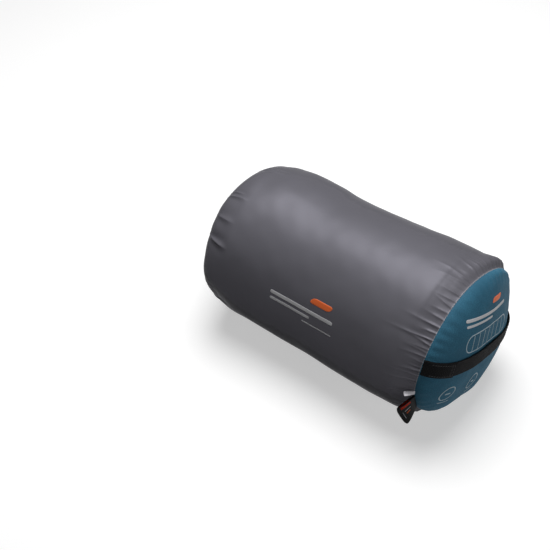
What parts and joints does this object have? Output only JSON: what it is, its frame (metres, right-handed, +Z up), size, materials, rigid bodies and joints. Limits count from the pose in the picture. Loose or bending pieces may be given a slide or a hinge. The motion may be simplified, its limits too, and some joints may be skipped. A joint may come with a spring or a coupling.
{
  "type": "stuff sack",
  "caption": "Round-bottomed drawstring stuff sack packed with a rolled sleeping bag, lying on its side, with a webbing handle across its end panel.",
  "frame": {"origin": "middle of the flat patch that the sack lies on", "axes": "+X along the sack towards the end panel, +Z up, +Y to the far side seen with the end panel on the right"},
  "size_m": [0.3951, 0.2322, 0.2068],
  "materials": {
    "shell_cloth": "satin coated polyester",
    "panel_cloth": "matt coated polyester",
    "bias_tape": "woven tape",
    "eyelet_metal": "plated",
    "lining_cloth": "plain polyester",
    "quilt_cloth": "soft polyester",
    "webbing": "woven webbing",
    "care_ribbon": "satin ribbon",
    "badge_ribbon": "woven damask"
  },
  "bodies": {
    "sack": {"body_shell": "shell_cloth", "end_panel": "panel_cloth", "seam_binding": "bias_tape", "side_seam_tape": "bias_tape", "mouth_hem": "shell_cloth", "cord_eyelet": "eyelet_metal", "eyelet_washer": "eyelet_metal", "dust_flap": "lining_cloth", "packed_roll": "quilt_cloth", "handle_near_end": "webbing", "handle_far_end": "webbing"},
    "handle": {"handle_grip": "webbing"},
    "care_tab": {"care_label": "care_ribbon"},
    "badge": {"woven_badge": "badge_ribbon"}
  },
  "joints": [
    {"name": "handle_lift", "type": "slide", "parent": "sack", "child": "handle", "axis": [1, 0, 0], "range_m": [0, 0.025]},
    {"name": "care_label_fold", "type": "hinge", "parent": "sack", "child": "care_tab", "pos_m": [0.1664, -0.09986, 0.09477], "axis": [0, 0.0523, -0.9986], "range_deg": [-125, 8]},
    {"name": "badge_fold", "type": "hinge", "parent": "sack", "child": "badge", "pos_m": [0.1662, -0.09693, 0.07583], "axis": [0, 0.2419, -0.9703], "range_deg": [-85, 50]}
  ]
}
